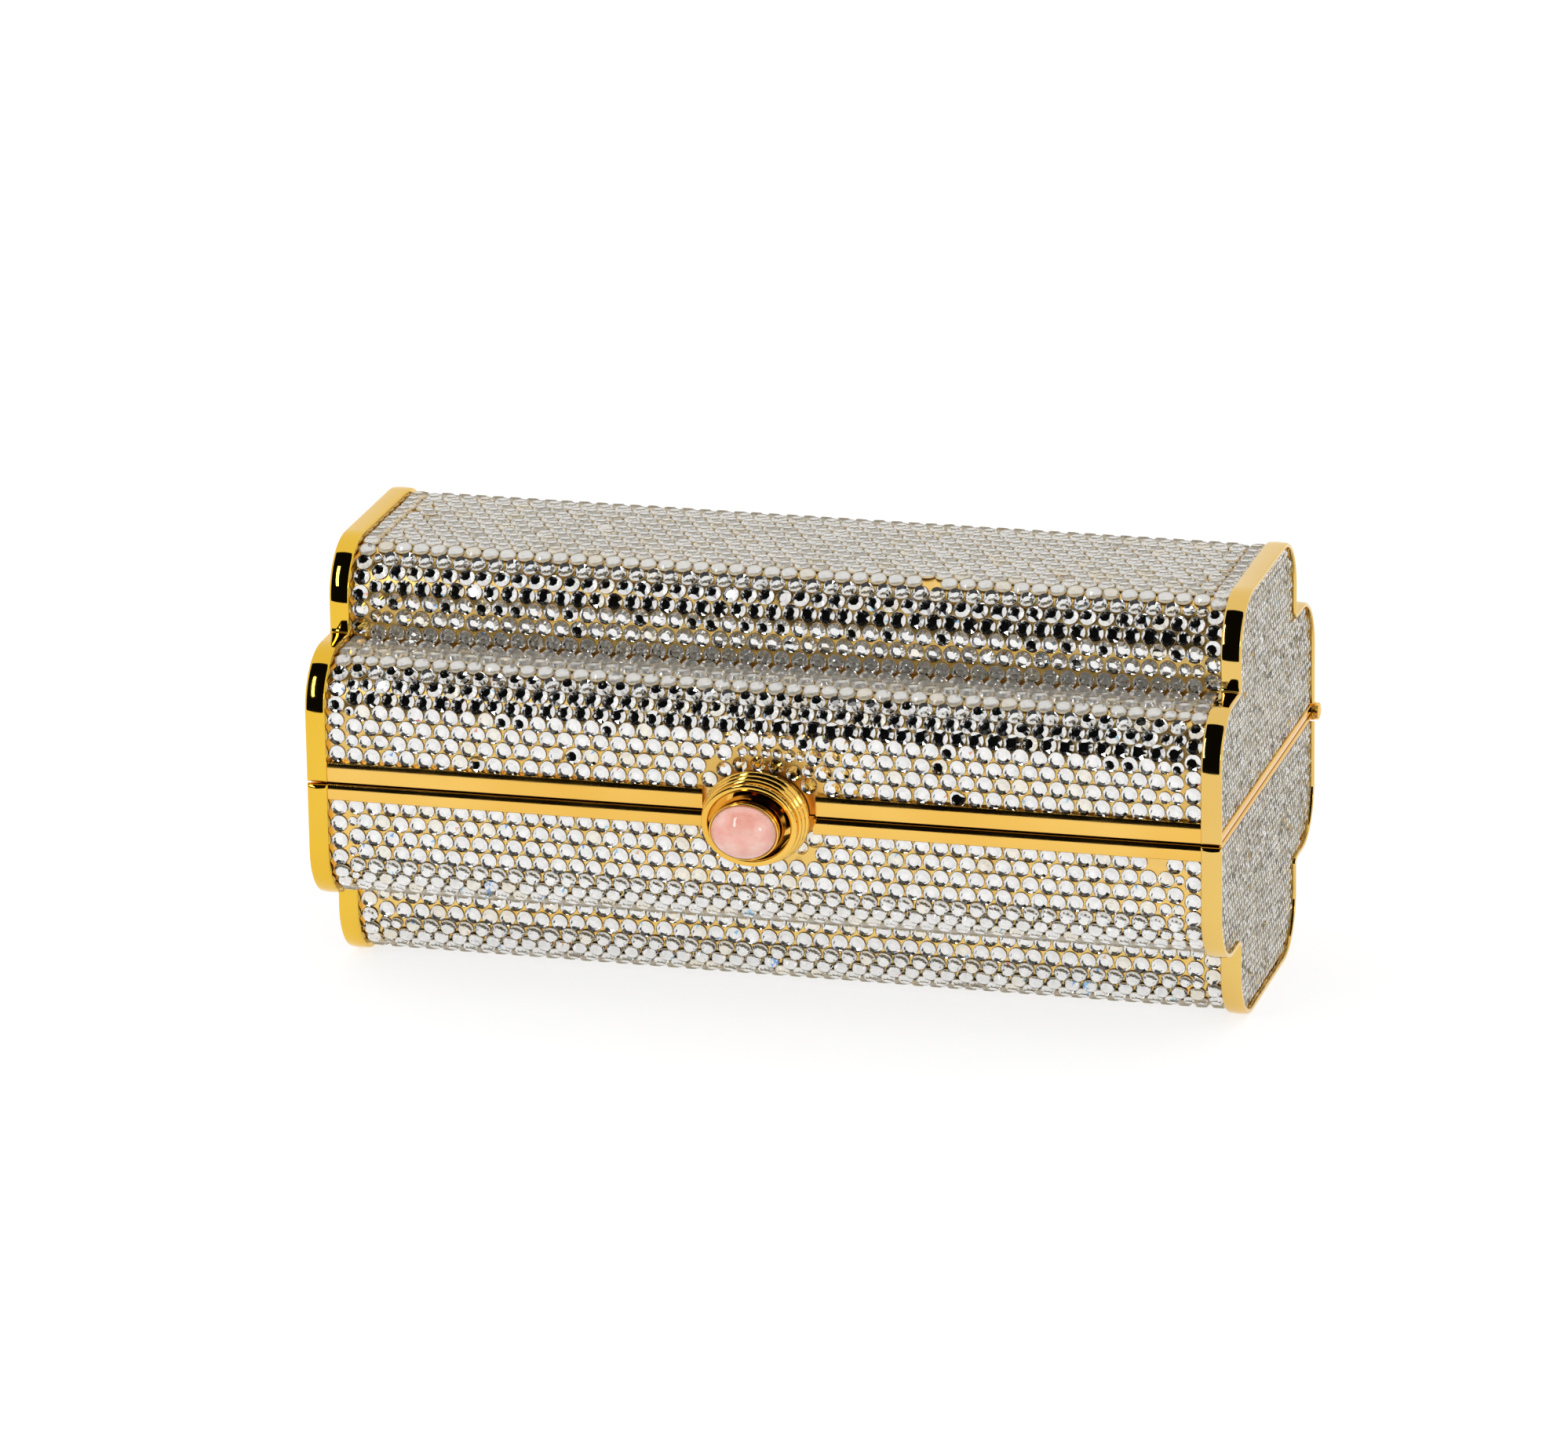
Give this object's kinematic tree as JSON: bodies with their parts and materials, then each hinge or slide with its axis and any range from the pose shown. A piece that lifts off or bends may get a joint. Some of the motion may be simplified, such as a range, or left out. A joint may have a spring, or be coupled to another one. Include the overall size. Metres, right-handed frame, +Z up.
{
  "type": "minaudiere",
  "caption": "Rigid stone-set evening bag of two hinged gold-plated shells, stepped in section, with an oval push-button clasp at the front.",
  "frame": {"origin": "below the middle of the bounding box, on the surface the bag stands on; the bag's own middle plane is at y = 5.5 mm, because the button reaches further forward than the hinge reaches back", "axes": "+X along the bag to its right end, +Y to the back, towards the hinge, +Z up; the button faces -Y"},
  "size_m": [0.162, 0.0902, 0.0756],
  "materials": {
    "shell_gold": "gold plated and polished",
    "band_gold": "gold plated, mirror polished",
    "rail_gold": "gold plated, mirror polished",
    "clasp_gold": "gold plated, mirror polished",
    "cover_gold": "gold plated, satin",
    "crystal": "clear faceted flat-back stones, foiled",
    "end_crystal": "clear faceted flat-back stones, foiled",
    "rose_quartz": "polished, cloudy pink",
    "lining_leather": "metallic gold kid leather",
    "latch_steel": "fine brushed"
  },
  "bodies": {
    "base": {"base_shell": "shell_gold", "base_stones": "crystal", "base_end_stones_left": "end_crystal", "base_end_stones_right": "end_crystal", "base_band_left": "band_gold", "base_band_right": "band_gold", "base_front_rail": "rail_gold", "base_end_rail_left": "rail_gold", "base_end_rail_right": "rail_gold", "base_lining": "lining_leather", "base_hinge_leaf": "rail_gold", "hinge_pin": "rail_gold", "clasp_collar": "clasp_gold", "clasp_floor": "clasp_gold", "stem_bush": "rail_gold", "latch_bracket": "latch_steel", "latch_pivot_pin": "latch_steel", "latch_leaf_spring": "latch_steel", "latch_rivets": "cover_gold", "latch_cover": "cover_gold", "button_spring": "latch_steel"},
    "lid": {"lid_shell": "shell_gold", "lid_stones": "crystal", "lid_end_stones_left": "end_crystal", "lid_end_stones_right": "end_crystal", "lid_band_left": "band_gold", "lid_band_right": "band_gold", "lid_front_rail": "rail_gold", "lid_end_rail_left": "rail_gold", "lid_end_rail_right": "rail_gold", "lid_lining": "lining_leather", "lid_hinge_leaf": "rail_gold", "latch_strike": "latch_steel", "strike_rivets": "cover_gold"},
    "button": {"button_setting": "clasp_gold", "button_stone": "rose_quartz", "button_stem": "latch_steel", "button_clip": "latch_steel"},
    "latch": {"latch_lever": "latch_steel"}
  },
  "joints": [
    {"name": "lid_hinge", "type": "hinge", "parent": "base", "child": "lid", "pos_m": [0, 0.0435, 0.0378], "axis": [-1, 0, 0], "range_deg": [0, 100]},
    {"name": "button_press", "type": "slide", "parent": "base", "child": "button", "axis": [0, 1, 0], "range_m": [0, 0.0015], "stiffness_N_per_m": 600, "springref_m": -0.0015, "deforming": ["button_spring"]},
    {"name": "latch_rock", "type": "hinge", "parent": "base", "child": "latch", "pos_m": [0, -0.0251, 0.0298], "axis": [-1, 0, 0], "range_deg": [0, 10.8], "deforming": ["latch_leaf_spring"]}
  ],
  "couplings": [
    {"joint": "latch_rock", "follows": "button_press", "rad_per_m": 125}
  ]
}
